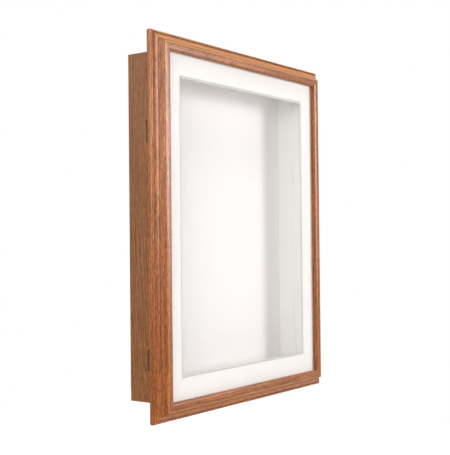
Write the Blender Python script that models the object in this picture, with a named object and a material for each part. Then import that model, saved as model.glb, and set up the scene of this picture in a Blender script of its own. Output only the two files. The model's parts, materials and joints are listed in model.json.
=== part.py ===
"""Wall-hung shadow box: a shallow oak cabinet with a hinged, glazed and matted oak door.

Metres, +Z up. The origin is the middle of the case's rear face, on the wall.
The case stands out from the wall toward -Y, and the hinges are on its -X side.
"""
import math

import bmesh
import bpy
from mathutils import Matrix, Vector

# Case and door, driving sizes
CASE_WIDTH = 0.610
CASE_HEIGHT = 0.762
CASE_DEPTH = 0.054
DOOR_BOX_DEPTH = 0.046
BOARD = 0.0125
LINER = 0.003
EDGE_EASE = 0.0007
JOINT_DEPTH = 0.006

# Clearances
SEAT = 0.0003
SEAM_GAP = 0.0015
LINER_SEAM_GAP = 0.0006
MITRE_GAP = 0.0003
OVERRUN = 0.004
MERGE = 0.00001

# Door moulding: how far it overhangs the case, and its section
OVERHANG = 0.038
LIP = 0.004
FLANGE_THICKNESS = 0.016
LIP_INSET = 0.007
BACK_EASE = 0.0008
BEAD_RADIUS = 0.0019
BEAD_DROP = 0.0010
QUIRK_WIDTH = 0.0009
BAND_WIDTH = 0.0104
BAND_FOOT = 0.0003
BAND_RISE = 0.0030
RAMP_WIDTH = 0.0070
RAMP_SHOULDER = 0.0030
FACE_RISE = 0.018
SIGHT_ROUND = 0.0045
QUIRK_TURN_SHARE = 0.11

# What the door holds
GLAZING = 0.003
MAT = 0.0015
MAT_MARGIN = 0.045
REVEAL = 0.0035

# Back of the cabinet
BACK_PANEL = 0.006
BACKING = 0.003
BACK_TONGUE = 0.0045

# Hinges
HINGE_HEIGHT = 0.045
UPPER_HINGE_DROP = 0.1735
LOWER_HINGE_RISE = 0.092
KNUCKLE_RADIUS = 0.0032
KNUCKLE_COUNT = 5
PIN_RADIUS = 0.0014
PIN_CLEARANCE = 0.00035
PIN_HEAD_RADIUS = 0.0023
PIN_HEAD = 0.0010
LEAF = 0.0015
LEAF_GAP = 0.0006
FINGER_EASE = 0.0002
LEAF_REACH = 0.011
LEAF_SCREW_SPACING = 0.026
LEAF_SCREW_INSET = 0.006

# Countersunk screws: the back panel's, and the small ones of the hinges and hangers
BACK_SCREW_HEAD_RADIUS = 0.0027
BACK_SCREW_HEAD = 0.0020
BACK_SCREW_RADIUS = 0.0015
BACK_SCREW_LENGTH = 0.0160
SMALL_SCREW_HEAD_RADIUS = 0.0024
SMALL_SCREW_HEAD = 0.0013
SMALL_SCREW_RADIUS = 0.0013
HINGE_SCREW_LENGTH = 0.0100
KEYHOLE_SCREW_LENGTH = 0.0050
SCREW_TIP = 0.0015
SCREW_SUNK = 0.0002
SCREW_SIDES = 12

# Places of fasteners, as shares of the length that they are spread along
BACK_SCREW_SIDE_SHARES = (-0.40, 0.0, 0.40)
BACK_SCREW_END_SHARES = (0.0,)
CATCH_SHARES = {"lower": -0.20, "upper": 0.20}
BUMPER_SHARES = {"lower": -0.44, "upper": 0.44}
KEYHOLE_SHARES = {"left": -0.33, "right": 0.33}

# Magnetic catches and felt bumpers
CATCH_GAP = 0.0003
MAGNET_RADIUS = 0.004
MAGNET_LENGTH = 0.005
STRIKE_RADIUS = 0.005
STRIKE = 0.002
BUMPER_RADIUS = 0.004
ROUND_SIDES = 20

# Keyhole hangers
KEYHOLE_DROP = 0.050
KEYHOLE_WIDTH = 0.022
KEYHOLE_HEIGHT = 0.052
KEYHOLE_PLATE = 0.0015
KEYHOLE_CORNER = 0.003
KEYHOLE_RADIUS = 0.0048
KEYHOLE_SLOT = 0.0050
KEYHOLE_TRAVEL = 0.011
KEYHOLE_SCREW_SPACING = 0.040
KEYHOLE_POCKET = 0.0030
KEYHOLE_POCKET_WIDTH = 0.012

# Derived places
HALF_WIDTH = CASE_WIDTH / 2
HALF_HEIGHT = CASE_HEIGHT / 2
FRAME_WIDTH = CASE_WIDTH + 2 * OVERHANG
FRAME_HEIGHT = CASE_HEIGHT + 2 * OVERHANG
SIGHT = OVERHANG + LIP
CABINET_FRONT = -CASE_DEPTH
DOOR_BACK = CABINET_FRONT - SEAM_GAP
SEAM_MIDDLE = (CABINET_FRONT + DOOR_BACK) / 2
BOX_FRONT = DOOR_BACK - DOOR_BOX_DEPTH
LIP_BACK = BOX_FRONT - GLAZING - 2 * MAT - 4 * SEAT
FLANGE_FRONT = LIP_BACK + LIP_INSET
FLANGE_BACK = FLANGE_FRONT + FLANGE_THICKNESS
PANEL_FRONT = -BACK_PANEL
BACKING_FRONT = PANEL_FRONT - SEAT - BACKING
HINGE_X = -HALF_WIDTH - SEAT - KNUCKLE_RADIUS
HINGE_ZS = {"upper": HALF_HEIGHT - UPPER_HINGE_DROP, "lower": LOWER_HINGE_RISE - HALF_HEIGHT}
LINER_PROUD = (SEAM_GAP - LINER_SEAM_GAP) / 2
CATCH_PROUD = (SEAM_GAP - CATCH_GAP) / 2
BOARD_MIDDLE_X = HALF_WIDTH - BOARD / 2
LEAF_X = HINGE_X + KNUCKLE_RADIUS + SEAT
BACK_SCREW = (BACK_SCREW_HEAD_RADIUS, BACK_SCREW_HEAD, BACK_SCREW_RADIUS, BACK_SCREW_LENGTH)
HINGE_SCREW = (SMALL_SCREW_HEAD_RADIUS, SMALL_SCREW_HEAD, SMALL_SCREW_RADIUS, HINGE_SCREW_LENGTH)
KEYHOLE_SCREW = (SMALL_SCREW_HEAD_RADIUS, SMALL_SCREW_HEAD, SMALL_SCREW_RADIUS, KEYHOLE_SCREW_LENGTH)
UPWARD = (0.0, 0.0, 1.0)
REARWARD = (0.0, 1.0, 0.0)
FORWARD = (0.0, -1.0, 0.0)


def clear_scene():
    """Remove every object the file opened with."""
    for thing in list(bpy.data.objects):
        bpy.data.objects.remove(thing, do_unlink=True)


def surface(name, colour, roughness, metallic=0.0):
    """A plain Principled material."""
    material = bpy.data.materials.new(name)
    material.use_nodes = True
    shader = material.node_tree.nodes["Principled BSDF"]
    shader.inputs["Base Color"].default_value = (*colour, 1.0)
    shader.inputs["Roughness"].default_value = roughness
    shader.inputs["Metallic"].default_value = metallic
    material.diffuse_color = (*colour, 1.0)
    return material


def stained_oak(name):
    """Red-brown stained oak under a satin lacquer."""
    return surface(name, (0.42, 0.20, 0.10), 0.42)


def white_board(name):
    """Matt white liner and mat board."""
    return surface(name, (0.90, 0.88, 0.86), 0.85)


def bronzed_steel(name):
    """Dark bronze-plated hinge steel."""
    return surface(name, (0.11, 0.055, 0.03), 0.45, 0.9)


def zinc_steel(name):
    """Bright zinc-plated steel."""
    return surface(name, (0.55, 0.55, 0.56), 0.35, 0.9)


def birch(name):
    """Plain birch plywood."""
    return surface(name, (0.62, 0.45, 0.28), 0.7)


def clear_sheet(name):
    """Clear glazing."""
    return surface(name, (0.85, 0.90, 0.90), 0.05)


def black_magnet(name):
    """Nickel-grey magnet."""
    return surface(name, (0.30, 0.30, 0.31), 0.3, 0.8)


def felt(name):
    """Dark brown felt."""
    return surface(name, (0.05, 0.03, 0.02), 0.95)


def pivot(name, at):
    """An empty that carries one body."""
    empty = bpy.data.objects.new(name, None)
    empty.location = at
    bpy.context.scene.collection.objects.link(empty)
    return empty


def add_box(bm, low, high):
    """Add a rectangular block between two opposite corners."""
    size = Vector(high) - Vector(low)
    place = Matrix.Translation((Vector(high) + Vector(low)) / 2) @ Matrix.Diagonal((*size, 1.0))
    return bmesh.ops.create_cube(bm, size=1.0, matrix=place)["verts"]


def ease_edges(bm, on_face, ends_too):
    """Ease the edges round the outer face that on_face picks; short ends only when asked."""
    rim = [edge for edge in bm.edges if all(on_face(vert.co) for vert in edge.verts)]
    if not ends_too:
        longest = max(edge.calc_length() for edge in rim)
        rim = [edge for edge in rim if edge.calc_length() > longest - MERGE]
    bmesh.ops.bevel(bm, geom=rim, offset=EDGE_EASE, offset_type="OFFSET", segments=1,
                    profile=0.5, affect="EDGES", clamp_overlap=True)


def add_copy(bm, source, place):
    """Move one closed shape into place and join it to bm as a body of its own."""
    mesh = bpy.data.meshes.new("copy")
    source.to_mesh(mesh)
    mesh.transform(place)
    bm.from_mesh(mesh)
    bpy.data.meshes.remove(mesh)


def placed(at, toward):
    """A matrix that sets local +Z along toward and the origin at a point."""
    turn = Vector((0.0, 0.0, 1.0)).rotation_difference(Vector(toward))
    return Matrix.Translation(at) @ turn.to_matrix().to_4x4()


def add_turned(bm, outline, sides, at, toward):
    """Turn an outline of (radius, height) points about the line through a point."""
    shape = bmesh.new()
    verts = [shape.verts.new((radius, 0.0, height)) for radius, height in outline]
    edges = [shape.edges.new(pair) for pair in zip(verts, verts[1:])]
    bmesh.ops.spin(shape, geom=verts + edges, cent=(0.0, 0.0, 0.0), axis=(0.0, 0.0, 1.0),
                   angle=math.tau, steps=sides, use_merge=True)
    bmesh.ops.remove_doubles(shape, verts=shape.verts, dist=MERGE)
    bmesh.ops.recalc_face_normals(shape, faces=shape.faces)
    add_copy(bm, shape, placed(at, toward))
    shape.free()


def add_rod(bm, radius, low, high, sides, at, toward):
    """Add a plain round rod from height low to height high."""
    outline = [(0.0, low), (radius, low), (radius, high), (0.0, high)]
    add_turned(bm, outline, sides, at, toward)


def add_screw(bm, screw, at, inward):
    """A countersunk screw whose head lies just under the face at a point."""
    head_radius, head, shank_radius, length = screw
    outline = [(0.0, SCREW_SUNK), (head_radius, SCREW_SUNK), (shank_radius, SCREW_SUNK + head),
               (shank_radius, length - SCREW_TIP), (0.0, length)]
    add_turned(bm, outline, SCREW_SIDES, at, inward)


def add_screw_hole(bm, screw, at, inward):
    """The countersunk hole that the same screw sits in with clearance all round."""
    head_radius, head, shank_radius, length = screw
    wide = head_radius + SEAT
    narrow = shank_radius + SEAT
    outline = [(0.0, -OVERRUN), (wide, -OVERRUN), (wide, SCREW_SUNK + SEAT),
               (narrow, SCREW_SUNK + SEAT + head), (narrow, length + SEAT), (0.0, length + SEAT)]
    add_turned(bm, outline, SCREW_SIDES, at, inward)


def finish(name, bm, material, carrier, smooth=False, turn=0.0):
    """Make the named object, with its origin at its middle and its body's empty as parent."""
    corners = [[pick(vert.co[axis] for vert in bm.verts) for axis in range(3)] for pick in (min, max)]
    centre = (Vector(corners[0]) + Vector(corners[1])) / 2
    mesh = bpy.data.meshes.new(name)
    bm.to_mesh(mesh)
    bm.free()
    mesh.transform(Matrix.Translation(-centre))
    mesh.materials.append(material)
    if smooth:
        mesh.shade_smooth()
        mesh.set_sharp_from_angle(angle=math.radians(30))
    thing = bpy.data.objects.new(name, mesh)
    thing.parent = carrier
    thing.location = Matrix.Rotation(turn, 4, "Y") @ centre - carrier.location
    thing.rotation_euler = (0.0, turn, 0.0)
    bpy.context.scene.collection.objects.link(thing)
    return thing


def guide(name, bm, carrier):
    """A cutter: a wire shape that takes material away and isn't part of the object."""
    cutter = finish(name, bm, surface(name, (0.5, 0.5, 0.5), 1.0), carrier)
    cutter.hide_render = True
    cutter.display_type = "WIRE"
    return cutter


def shaped(piece, tool, operation="DIFFERENCE"):
    """Cut one piece by a guide, or join the guide to it, with the exact solver."""
    step = piece.modifiers.new(tool.name, "BOOLEAN")
    step.operation = operation
    step.solver = "EXACT"
    step.object = tool


def moulding_outline():
    """The door moulding's section as (inward, forward) points from its outer front corner.

    From outside in: a small bead and quirk, a shallow crowned band, a steep ramp up
    to the raised inner face, a rounding down to the sight edge, and the rabbet behind.
    """
    outline = [(BACK_EASE, -FLANGE_THICKNESS), (0.0, BACK_EASE - FLANGE_THICKNESS)]
    bead_steps = 6
    for step in range(bead_steps + 1):
        angle = math.pi * (1.0 - (1.0 - QUIRK_TURN_SHARE) * step / bead_steps)
        outline.append((BEAD_RADIUS * (1.0 + math.cos(angle)),
                        BEAD_RADIUS * (math.sin(angle) - 1.0) - BEAD_DROP))
    band_start = 2 * BEAD_RADIUS + QUIRK_WIDTH
    band_steps = 4
    for step in range(band_steps + 1):
        along = step / band_steps
        outline.append((band_start + BAND_WIDTH * along,
                        BAND_FOOT + (BAND_RISE - BAND_FOOT) * (1.0 - (1.0 - along) ** 2)))
    ramp_end = band_start + BAND_WIDTH + RAMP_WIDTH
    shoulder_steps = 4
    for step in range(shoulder_steps + 1):
        angle = math.pi / 2 * step / shoulder_steps
        outline.append((ramp_end + RAMP_SHOULDER * (1.0 - math.cos(angle)),
                        FACE_RISE - RAMP_SHOULDER * (1.0 - math.sin(angle))))
    sight_steps = 5
    for step in range(sight_steps + 1):
        angle = math.pi / 2 * step / sight_steps
        outline.append((SIGHT - SIGHT_ROUND * (1.0 - math.sin(angle)),
                        FACE_RISE - SIGHT_ROUND * (1.0 - math.cos(angle))))
    rabbet = OVERHANG - SEAT
    outline += [(SIGHT, LIP_INSET), (rabbet, LIP_INSET), (rabbet, -FLANGE_THICKNESS)]
    return outline


def add_rail(bm, length, reach):
    """Extrude the moulding section along X and mitre both ends; reach is its outer edge's Z."""
    shift = MITRE_GAP / math.sqrt(2)
    section = []
    for inward, forward in moulding_outline():
        end = inward + shift - length / 2
        section.append(bm.verts.new((end, FLANGE_FRONT - forward, reach - inward)))
    face = bm.faces.new(section)
    made = bmesh.ops.extrude_face_region(bm, geom=[face])["geom"]
    for vert in (part for part in made if isinstance(part, bmesh.types.BMVert)):
        vert.co.x = -vert.co.x
    bmesh.ops.recalc_face_normals(bm, faces=bm.faces)


def build_moulding(door):
    """Four mitred oak rails that wrap the front of the door's box."""
    rails = [("door_top_rail", FRAME_WIDTH, FRAME_HEIGHT), ("door_right_stile", FRAME_HEIGHT, FRAME_WIDTH),
             ("door_bottom_rail", FRAME_WIDTH, FRAME_HEIGHT), ("door_left_stile", FRAME_HEIGHT, FRAME_WIDTH)]
    for quarter, (name, length, across) in enumerate(rails):
        bm = bmesh.new()
        add_rail(bm, length, across / 2)
        finish(name, bm, stained_oak(name), door, smooth=True, turn=quarter * math.pi / 2)


def add_mat(bm, margin, front):
    """A sheet with a window whose edge is cut at 45 degrees, wider at the front."""
    back = front + MAT
    opening_x = FRAME_WIDTH / 2 - margin
    opening_z = FRAME_HEIGHT / 2 - margin
    rings = []
    for x, y, z in ((HALF_WIDTH, front, HALF_HEIGHT), (opening_x, front, opening_z),
                    (opening_x - MAT, back, opening_z - MAT), (HALF_WIDTH, back, HALF_HEIGHT)):
        corners = ((-x, y, -z), (x, y, -z), (x, y, z), (-x, y, z))
        rings.append([bm.verts.new(corner) for corner in corners])
    for ring, following in zip(rings, rings[1:] + rings[:1]):
        for index, corner in enumerate(ring):
            bm.faces.new((ring[index - 1], corner, following[index], following[index - 1]))
    bmesh.ops.recalc_face_normals(bm, faces=bm.faces)


def build_glazing_and_mats(door):
    """The glazing, the mat behind it and the inner mat that shows as a narrow reveal."""
    glazing_front = LIP_BACK + SEAT
    mat_front = glazing_front + GLAZING + SEAT
    inner_front = mat_front + MAT + SEAT
    bm = bmesh.new()
    add_box(bm, (-HALF_WIDTH, glazing_front, -HALF_HEIGHT),
            (HALF_WIDTH, glazing_front + GLAZING, HALF_HEIGHT))
    finish("glazing", bm, clear_sheet("glazing"), door)
    window = SIGHT + MAT_MARGIN
    for name, margin, front in (("mat_board", window, mat_front),
                                ("inner_mat", window + MAT + REVEAL, inner_front)):
        bm = bmesh.new()
        add_mat(bm, margin, front)
        finish(name, bm, white_board(name), door)


def corner_rabbets(front, back):
    """Room in the ends of the side boards for the top and the bottom board."""
    bm = bmesh.new()
    inner = HALF_WIDTH - BOARD
    for side_x in (-1, 1):
        for side_z in (-1, 1):
            near_x, far_x = sorted((side_x * (inner - OVERRUN), side_x * (inner + JOINT_DEPTH)))
            near_z, far_z = sorted((side_z * (HALF_HEIGHT - BOARD - SEAT), side_z * (HALF_HEIGHT + OVERRUN)))
            add_box(bm, (near_x, front - OVERRUN, near_z), (far_x, back + OVERRUN, far_z))
    return bm


def case_boards(names, front, back, carrier):
    """Two full-height sides, rabbeted to take a top and a bottom; outer edges eased."""
    boards = {}
    joints = guide(names["left"] + "_joints", corner_rabbets(front, back), carrier)
    for side, label in ((-1, "left"), (1, "right")):
        bm = bmesh.new()
        outer = side * HALF_WIDTH
        near, far = sorted((outer, outer - side * BOARD))
        add_box(bm, (near, front, -HALF_HEIGHT), (far, back, HALF_HEIGHT))
        ease_edges(bm, lambda co, plane=outer: abs(co.x - plane) < MERGE, True)
        boards[label] = finish(names[label], bm, stained_oak(names[label]), carrier)
        shaped(boards[label], joints)
    end = HALF_WIDTH - BOARD + JOINT_DEPTH - SEAT
    for side, label in ((1, "top"), (-1, "bottom")):
        bm = bmesh.new()
        outer = side * HALF_HEIGHT
        near, far = sorted((outer, outer - side * BOARD))
        add_box(bm, (-end, front, near), (end, back, far))
        ease_edges(bm, lambda co, plane=outer: abs(co.z - plane) < MERGE, False)
        boards[label] = finish(names[label], bm, stained_oak(names[label]), carrier)
    return boards


def liner_strips(prefix, front, back, carrier):
    """White liner strips against the four inner faces; the sides stand between the other two."""
    outer_x = HALF_WIDTH - BOARD - SEAT
    outer_z = HALF_HEIGHT - BOARD - SEAT
    end = outer_z - LINER - SEAT
    for side, label in ((1, "top"), (-1, "bottom")):
        bm = bmesh.new()
        near, far = sorted((side * outer_z, side * (outer_z - LINER)))
        add_box(bm, (-outer_x, front, near), (outer_x, back, far))
        finish(prefix + label, bm, white_board(prefix + label), carrier)
    for side, label in ((-1, "left"), (1, "right")):
        bm = bmesh.new()
        near, far = sorted((side * outer_x, side * (outer_x - LINER)))
        add_box(bm, (near, front, -end), (far, back, end))
        finish(prefix + label, bm, white_board(prefix + label), carrier)


def build_door_box(door):
    """The door's own shallow box behind the moulding, and its white liner."""
    names = {label: "door_box_" + label for label in ("left", "right", "top", "bottom")}
    boards = case_boards(names, BOX_FRONT, DOOR_BACK, door)
    liner_strips("door_liner_", BOX_FRONT, DOOR_BACK + LINER_PROUD, door)
    return boards


def build_cabinet_box(cabinet):
    """The case on the wall: boards rabbeted for the back, liner, backing and back panel."""
    names = {"left": "cabinet_left_side", "right": "cabinet_right_side",
             "top": "cabinet_top", "bottom": "cabinet_bottom"}
    boards = case_boards(names, CABINET_FRONT, 0.0, cabinet)
    rabbet_x = HALF_WIDTH - BACK_TONGUE
    rabbet_z = HALF_HEIGHT - BACK_TONGUE
    bm = bmesh.new()
    add_box(bm, (-rabbet_x, PANEL_FRONT - SEAT, -rabbet_z), (rabbet_x, OVERRUN, rabbet_z))
    rabbet = guide("back_rabbet", bm, cabinet)
    for board in boards.values():
        shaped(board, rabbet)
    liner_strips("cabinet_liner_", CABINET_FRONT - LINER_PROUD, BACKING_FRONT - SEAT, cabinet)
    inner_x = HALF_WIDTH - BOARD - SEAT
    inner_z = HALF_HEIGHT - BOARD - SEAT
    bm = bmesh.new()
    add_box(bm, (-inner_x, BACKING_FRONT, -inner_z), (inner_x, BACKING_FRONT + BACKING, inner_z))
    finish("backing_board", bm, white_board("backing_board"), cabinet)
    bm = bmesh.new()
    add_box(bm, (SEAT - rabbet_x, PANEL_FRONT, SEAT - rabbet_z),
            (rabbet_x - SEAT, 0.0, rabbet_z - SEAT))
    boards["panel"] = finish("back_panel", bm, birch("back_panel"), cabinet)
    return boards


def build_screws(names, screw, places, held, material, carrier):
    """Named screws at their places, and their holes in every piece that they go through."""
    holes = bmesh.new()
    for name, (at, inward) in zip(names, places):
        add_screw_hole(holes, screw, at, inward)
        bm = bmesh.new()
        add_screw(bm, screw, at, inward)
        finish(name, bm, material(name), carrier, smooth=True)
    cutter = guide(names[0] + "_holes", holes, carrier)
    for piece in held:
        shaped(piece, cutter)


def build_back_screws(cabinet, boards):
    """Screws round the back panel's edge, over the middle of the rabbet's shoulder."""
    inset = (BACK_TONGUE + BOARD) / 2
    places = []
    for side in (-1, 1):
        for share in BACK_SCREW_SIDE_SHARES:
            places.append(((side * (HALF_WIDTH - inset), 0.0, share * CASE_HEIGHT), FORWARD))
        for share in BACK_SCREW_END_SHARES:
            places.append(((share * CASE_WIDTH, 0.0, side * (HALF_HEIGHT - inset)), FORWARD))
    names = ["back_screw_" + str(number + 1) for number in range(len(places))]
    build_screws(names, BACK_SCREW, places, boards.values(), zinc_steel, cabinet)


def add_plate(bm, x, z, grow, front, back):
    """A plate with rounded corners, lying in the plane of the back."""
    half_x = KEYHOLE_WIDTH / 2 + grow
    half_z = KEYHOLE_HEIGHT / 2 + grow
    add_box(bm, (x - half_x, front, z - half_z), (x + half_x, back, z + half_z))
    corners = [edge for edge in bm.edges if abs(edge.verts[0].co.y - edge.verts[1].co.y) > MERGE]
    bmesh.ops.bevel(bm, geom=corners, offset=KEYHOLE_CORNER + grow, offset_type="OFFSET",
                    segments=3, profile=0.5, affect="EDGES", clamp_overlap=True)


def build_keyhole_plate(label, x, z, cabinet, panel):
    """A steel keyhole hanger let into the back panel, over a pocket for a wall screw's head."""
    plate_back = -SEAT
    plate_front = plate_back - KEYHOLE_PLATE
    low = z - KEYHOLE_TRAVEL / 2
    high = z + KEYHOLE_TRAVEL / 2
    name = label + "_keyhole_plate"
    bm = bmesh.new()
    add_plate(bm, x, z, 0.0, plate_front, plate_back)
    hanger = finish(name, bm, zinc_steel(name), cabinet)
    bm = bmesh.new()
    add_rod(bm, KEYHOLE_RADIUS, -OVERRUN, OVERRUN, ROUND_SIDES, (x, 0.0, low), FORWARD)
    shaped(hanger, guide(name + "_entry", bm, cabinet))
    bm = bmesh.new()
    add_rod(bm, KEYHOLE_SLOT / 2, -OVERRUN, OVERRUN, ROUND_SIDES, (x, 0.0, high), FORWARD)
    shaped(hanger, guide(name + "_slot_top", bm, cabinet))
    bm = bmesh.new()
    add_box(bm, (x - KEYHOLE_SLOT / 2, -OVERRUN, low), (x + KEYHOLE_SLOT / 2, OVERRUN, high))
    shaped(hanger, guide(name + "_slot", bm, cabinet))
    bm = bmesh.new()
    add_plate(bm, x, z, SEAT, plate_front - SEAT, OVERRUN)
    shaped(panel, guide(name + "_recess", bm, cabinet))
    bm = bmesh.new()
    half_x = KEYHOLE_POCKET_WIDTH / 2
    half_z = (KEYHOLE_TRAVEL + KEYHOLE_POCKET_WIDTH) / 2
    floor = plate_front - SEAT - KEYHOLE_POCKET
    add_box(bm, (x - half_x, floor, z - half_z), (x + half_x, OVERRUN, z + half_z))
    shaped(panel, guide(name + "_pocket", bm, cabinet))
    names = [label + "_keyhole_screw_" + end for end in ("low", "high")]
    places = [((x, plate_back + SCREW_SUNK, z + side * KEYHOLE_SCREW_SPACING / 2), FORWARD)
              for side in (-1, 1)]
    build_screws(names, KEYHOLE_SCREW, places, (hanger, panel), zinc_steel, cabinet)


def leaf_faces(side):
    """The seam-side face and the wood-side face of a leaf; side is 1 on the cabinet."""
    inner = SEAM_MIDDLE + side * LEAF_GAP / 2
    return inner, inner + side * LEAF


def knuckle_spans(height, first):
    """Low and high of every second knuckle, from the one numbered first, bottom up."""
    pitch = (HINGE_HEIGHT + SEAT) / KNUCKLE_COUNT
    bottom = height - HINGE_HEIGHT / 2
    return [(bottom + index * pitch, bottom + (index + 1) * pitch - SEAT)
            for index in range(first, KNUCKLE_COUNT, 2)]


def axis_tubes(bore, radius, spans):
    """Tubes, or rods where the bore is zero, round the hinge axis, one for each span of heights."""
    bm = bmesh.new()
    for low, high in spans:
        outline = [(bore, low), (radius, low), (radius, high), (bore, high)]
        if bore:
            outline.append(outline[0])
        add_turned(bm, outline, ROUND_SIDES, (HINGE_X, SEAM_MIDDLE, 0.0), UPWARD)
    return bm


def build_leaf(name, height, side, carrier):
    """One hinge leaf: a flat plate, its own knuckles, and room round the other's."""
    low_y, high_y = sorted(leaf_faces(side))
    own, other = (0, 1) if side == 1 else (1, 0)
    bore = PIN_RADIUS + PIN_CLEARANCE
    half = HINGE_HEIGHT / 2 - FINGER_EASE
    bm = bmesh.new()
    add_box(bm, (HINGE_X + (bore + KNUCKLE_RADIUS) / 2, low_y, height - half),
            (LEAF_X + LEAF_REACH, high_y, height + half))
    leaf = finish(name, bm, bronzed_steel(name), carrier, smooth=True)
    spare = SEAT + FINGER_EASE
    room = [(start - spare, end + spare) for start, end in knuckle_spans(height, other)]
    shaped(leaf, guide(name + "_room", axis_tubes(0.0, KNUCKLE_RADIUS + 2 * SEAT, room), carrier))
    knuckles = axis_tubes(bore, KNUCKLE_RADIUS, knuckle_spans(height, own))
    shaped(leaf, guide(name + "_knuckles", knuckles, carrier), "UNION")
    return leaf


def build_hinge_side(hinge, height, side, label, board, carrier):
    """The leaf of one hinge on one body, its mortise in the board's edge and its screws."""
    leaf = build_leaf(hinge + "_hinge_" + label + "_leaf", height, side, carrier)
    _, back = leaf_faces(side)
    low_y, high_y = sorted((back + side * SEAT, SEAM_MIDDLE))
    half = HINGE_HEIGHT / 2 + SEAT
    bm = bmesh.new()
    add_box(bm, (-HALF_WIDTH - OVERRUN, low_y, height - half),
            (LEAF_X + LEAF_REACH + SEAT, high_y, height + half))
    shaped(board, guide(leaf.name + "_mortise", bm, carrier))
    face, _ = leaf_faces(side)
    names = [hinge + "_hinge_" + label + "_screw_" + end for end in ("low", "high")]
    places = [((LEAF_X + LEAF_SCREW_INSET, face, height + end * LEAF_SCREW_SPACING / 2), (0.0, side, 0.0))
              for end in (-1, 1)]
    build_screws(names, HINGE_SCREW, places, (leaf, board), bronzed_steel, carrier)


def build_hinge_pin(name, height, cabinet):
    """A pin through one hinge's knuckles, with a small head on top."""
    bottom = height - HINGE_HEIGHT / 2
    top = height + HINGE_HEIGHT / 2 + SEAT
    outline = [(0.0, bottom), (PIN_RADIUS, bottom), (PIN_RADIUS, top), (PIN_HEAD_RADIUS, top),
               (PIN_HEAD_RADIUS, top + PIN_HEAD), (0.0, top + PIN_HEAD)]
    bm = bmesh.new()
    add_turned(bm, outline, ROUND_SIDES, (HINGE_X, SEAM_MIDDLE, 0.0), UPWARD)
    finish(name, bm, bronzed_steel(name), cabinet, smooth=True)


def build_hinges(cabinet, door, cabinet_board, door_board):
    """Two butt hinges let into the seam, with their pins on the door's axis."""
    for hinge, height in HINGE_ZS.items():
        build_hinge_side(hinge, height, 1, "cabinet", cabinet_board, cabinet)
        build_hinge_side(hinge, height, -1, "door", door_board, door)
        build_hinge_pin(hinge + "_hinge_pin", height, cabinet)


def build_catch(label, height, cabinet, door, cabinet_board, door_board):
    """A magnet in the case's free edge and the steel strike that it holds in the door's."""
    magnet_at = (BOARD_MIDDLE_X, CABINET_FRONT - CATCH_PROUD, height)
    strike_at = (BOARD_MIDDLE_X, DOOR_BACK + CATCH_PROUD, height)
    name = label + "_catch_magnet"
    bm = bmesh.new()
    add_rod(bm, MAGNET_RADIUS, 0.0, MAGNET_LENGTH, ROUND_SIDES, magnet_at, REARWARD)
    finish(name, bm, black_magnet(name), cabinet, smooth=True)
    bm = bmesh.new()
    add_rod(bm, MAGNET_RADIUS + SEAT, -OVERRUN, MAGNET_LENGTH + SEAT, ROUND_SIDES, magnet_at, REARWARD)
    shaped(cabinet_board, guide(name + "_pocket", bm, cabinet))
    name = label + "_catch_strike"
    bm = bmesh.new()
    add_rod(bm, STRIKE_RADIUS, 0.0, STRIKE, ROUND_SIDES, strike_at, FORWARD)
    finish(name, bm, zinc_steel(name), door, smooth=True)
    bm = bmesh.new()
    add_rod(bm, STRIKE_RADIUS + SEAT, -OVERRUN, STRIKE + SEAT, ROUND_SIDES, strike_at, FORWARD)
    shaped(door_board, guide(name + "_seat", bm, door))


def build_bumper(label, height, cabinet):
    """A felt dot on the case's free edge, just short of the door."""
    name = label + "_door_bumper"
    at = (BOARD_MIDDLE_X, CABINET_FRONT - SEAT, height)
    bm = bmesh.new()
    add_rod(bm, BUMPER_RADIUS, 0.0, SEAM_GAP - 2 * SEAT, ROUND_SIDES, at, FORWARD)
    finish(name, bm, felt(name), cabinet, smooth=True)


def build():
    """Build the case, the door on its hinge axis, and what holds and joins them."""
    clear_scene()
    cabinet = pivot("cabinet", (0.0, 0.0, 0.0))
    door = pivot("door_hinge_axis", (HINGE_X, SEAM_MIDDLE, 0.0))
    cabinet_boards = build_cabinet_box(cabinet)
    for label, share in KEYHOLE_SHARES.items():
        x = share * CASE_WIDTH
        build_keyhole_plate(label, x, HALF_HEIGHT - KEYHOLE_DROP, cabinet, cabinet_boards["panel"])
    build_back_screws(cabinet, cabinet_boards)
    build_moulding(door)
    build_glazing_and_mats(door)
    door_boards = build_door_box(door)
    build_hinges(cabinet, door, cabinet_boards["left"], door_boards["left"])
    for label, share in CATCH_SHARES.items():
        height = share * CASE_HEIGHT
        build_catch(label, height, cabinet, door, cabinet_boards["right"], door_boards["right"])
    for label, share in BUMPER_SHARES.items():
        build_bumper(label, share * CASE_HEIGHT, cabinet)


build()
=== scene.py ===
import json
import math

import bmesh
import bpy
from mathutils import Euler, Matrix, Vector

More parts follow.
